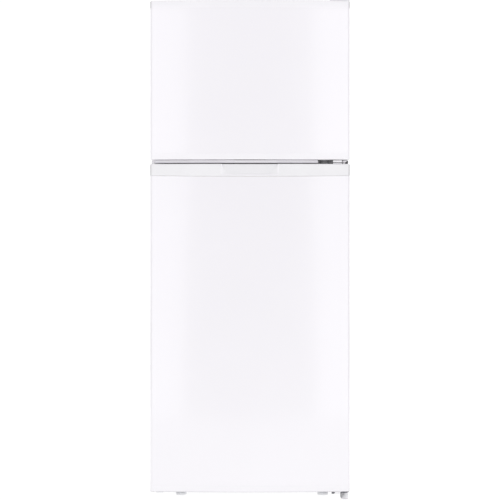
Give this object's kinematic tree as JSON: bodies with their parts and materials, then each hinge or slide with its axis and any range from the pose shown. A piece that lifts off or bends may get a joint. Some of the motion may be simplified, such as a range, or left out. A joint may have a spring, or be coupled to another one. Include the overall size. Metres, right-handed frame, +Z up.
{
  "type": "top freezer refrigerator",
  "caption": "Tall white two-door refrigerator with a freezer on top, bowed door fronts hinged on the right, a scooped finger grip, levelling feet and rear rollers.",
  "frame": {"origin": "on the floor, under the middle of the footprint (middle of width and of overall depth)", "axes": "+Z up; the doors face -Y; +X is the hinge side, to the right of someone facing the doors"},
  "size_m": [0.6, 0.66, 1.521],
  "materials": {
    "enamel": "gloss white enamel on bent steel sheet",
    "cap_plastic": "satin white moulded plastic",
    "liner": "white thermoformed sheet",
    "gasket": "soft white magnetic gasket",
    "foam": "rigid foamed insulation",
    "clear_plastic": "clear moulded plastic",
    "glass": "tempered glass",
    "zinc": "zinc plated steel",
    "aluminium": "mill finish",
    "copper": "copper plated tube",
    "black_steel": "black enamel on drawn steel",
    "grey_plastic": "grey moulded plastic",
    "dark_plastic": "black moulded plastic"
  },
  "bodies": {
    "cabinet": {"cabinet_shell": "enamel", "back_panel": "zinc", "cabinet_foam": "foam", "freezer_liner": "liner", "fridge_liner": "liner", "centre_rail": "enamel", "base_plate": "zinc", "compressor_tray": "zinc", "rear_cover": "dark_plastic", "cord_gland": "dark_plastic", "compressor": "black_steel", "drain_pan": "grey_plastic", "condenser": "copper", "evaporator": "aluminium", "defrost_heater": "aluminium", "fan_motor": "black_steel", "freezer_back_cover": "liner", "freezer_shelf": "enamel", "ice_bin": "clear_plastic", "shelf_glass_lower": "glass", "shelf_trim_lower": "cap_plastic", "shelf_glass_upper": "glass", "shelf_trim_upper": "cap_plastic", "crisper_glass": "glass", "crisper_frame": "cap_plastic", "control_housing": "cap_plastic", "lamp_lens": "clear_plastic", "top_hinge": "zinc", "top_hinge_cover": "cap_plastic", "centre_hinge": "zinc", "centre_hinge_plug": "cap_plastic", "bottom_hinge": "zinc"},
    "freezer_door": {"freezer_door_skin": "enamel", "freezer_door_top_cap": "cap_plastic", "freezer_door_bottom_cap": "cap_plastic", "freezer_door_foam": "foam", "freezer_door_liner": "liner", "freezer_door_gasket": "gasket"},
    "fridge_door": {"fridge_door_skin": "enamel", "fridge_door_top_cap": "cap_plastic", "fridge_door_bottom_cap": "cap_plastic", "fridge_door_foam": "foam", "fridge_door_liner": "liner", "fridge_door_gasket": "gasket", "door_stop": "cap_plastic", "door_hole_cover": "cap_plastic"},
    "freezer_bin": {"freezer_bin": "clear_plastic"},
    "fridge_bin_lower": {"fridge_bin_lower": "clear_plastic"},
    "fridge_bin_middle": {"fridge_bin_middle": "clear_plastic"},
    "fridge_bin_upper": {"fridge_bin_upper": "clear_plastic"},
    "crisper_drawer": {"crisper_drawer": "clear_plastic"},
    "humidity_slider": {"humidity_slider": "grey_plastic"},
    "temperature_dial": {"temperature_dial": "grey_plastic"},
    "light_switch": {"light_switch": "cap_plastic"},
    "fan_blade": {"fan_blade": "grey_plastic"},
    "foot_left": {"foot_left": "grey_plastic"},
    "foot_right": {"foot_right": "grey_plastic"},
    "hinge_foot": {"hinge_foot": "grey_plastic"},
    "roller_left": {"roller_left": "grey_plastic"},
    "roller_right": {"roller_right": "grey_plastic"}
  },
  "joints": [
    {"name": "freezer_door_hinge", "type": "hinge", "parent": "cabinet", "child": "freezer_door", "pos_m": [0.284, -0.29, 1.2], "axis": [0, 0, 1], "range_deg": [0, 120]},
    {"name": "fridge_door_hinge", "type": "hinge", "parent": "cabinet", "child": "fridge_door", "pos_m": [0.284, -0.29, 0.5], "axis": [0, 0, 1], "range_deg": [0, 120]},
    {"name": "freezer_bin_lift", "type": "slide", "parent": "freezer_door", "child": "freezer_bin", "axis": [0, 0, 1], "range_m": [0, 0.03]},
    {"name": "fridge_bin_lower_lift", "type": "slide", "parent": "fridge_door", "child": "fridge_bin_lower", "axis": [0, 0, 1], "range_m": [0, 0.03]},
    {"name": "fridge_bin_middle_lift", "type": "slide", "parent": "fridge_door", "child": "fridge_bin_middle", "axis": [0, 0, 1], "range_m": [0, 0.03]},
    {"name": "fridge_bin_upper_lift", "type": "slide", "parent": "fridge_door", "child": "fridge_bin_upper", "axis": [0, 0, 1], "range_m": [0, 0.03]},
    {"name": "crisper_drawer_slide", "type": "slide", "parent": "cabinet", "child": "crisper_drawer", "axis": [0, -1, 0], "range_m": [0, 0.045]},
    {"name": "humidity_slider_slide", "type": "slide", "parent": "cabinet", "child": "humidity_slider", "axis": [1, 0, 0], "range_m": [0, 0.04]},
    {"name": "temperature_dial_turn", "type": "hinge", "parent": "cabinet", "child": "temperature_dial", "pos_m": [0.06, -0.15, 0.944], "axis": [0, 0, 1], "range_deg": [0, 270]},
    {"name": "light_switch_push", "type": "slide", "parent": "cabinet", "child": "light_switch", "axis": [0, -1, 0], "range_m": [0, 0.004]},
    {"name": "fan_blade_spin", "type": "hinge", "parent": "cabinet", "child": "fan_blade", "pos_m": [0, 0.2155, 1.352], "axis": [0, 1, 0], "continuous": true},
    {"name": "foot_left_turn", "type": "hinge", "parent": "cabinet", "child": "foot_left", "pos_m": [-0.213, -0.2, 0.01], "axis": [0, 0, 1], "continuous": true},
    {"name": "foot_right_turn", "type": "hinge", "parent": "cabinet", "child": "foot_right", "pos_m": [0.225, -0.2, 0.01], "axis": [0, 0, 1], "continuous": true},
    {"name": "hinge_foot_turn", "type": "hinge", "parent": "cabinet", "child": "hinge_foot", "pos_m": [0.289, -0.272, 0.01], "axis": [0, 0, 1], "continuous": true},
    {"name": "roller_left_spin", "type": "hinge", "parent": "cabinet", "child": "roller_left", "pos_m": [-0.25, 0.29, 0.014], "axis": [1, 0, 0], "continuous": true},
    {"name": "roller_right_spin", "type": "hinge", "parent": "cabinet", "child": "roller_right", "pos_m": [0.25, 0.29, 0.014], "axis": [1, 0, 0], "continuous": true}
  ],
  "couplings": [
    {"joint": "light_switch_push", "follows": "fridge_door_hinge", "m_per_rad": 0.0019}
  ]
}
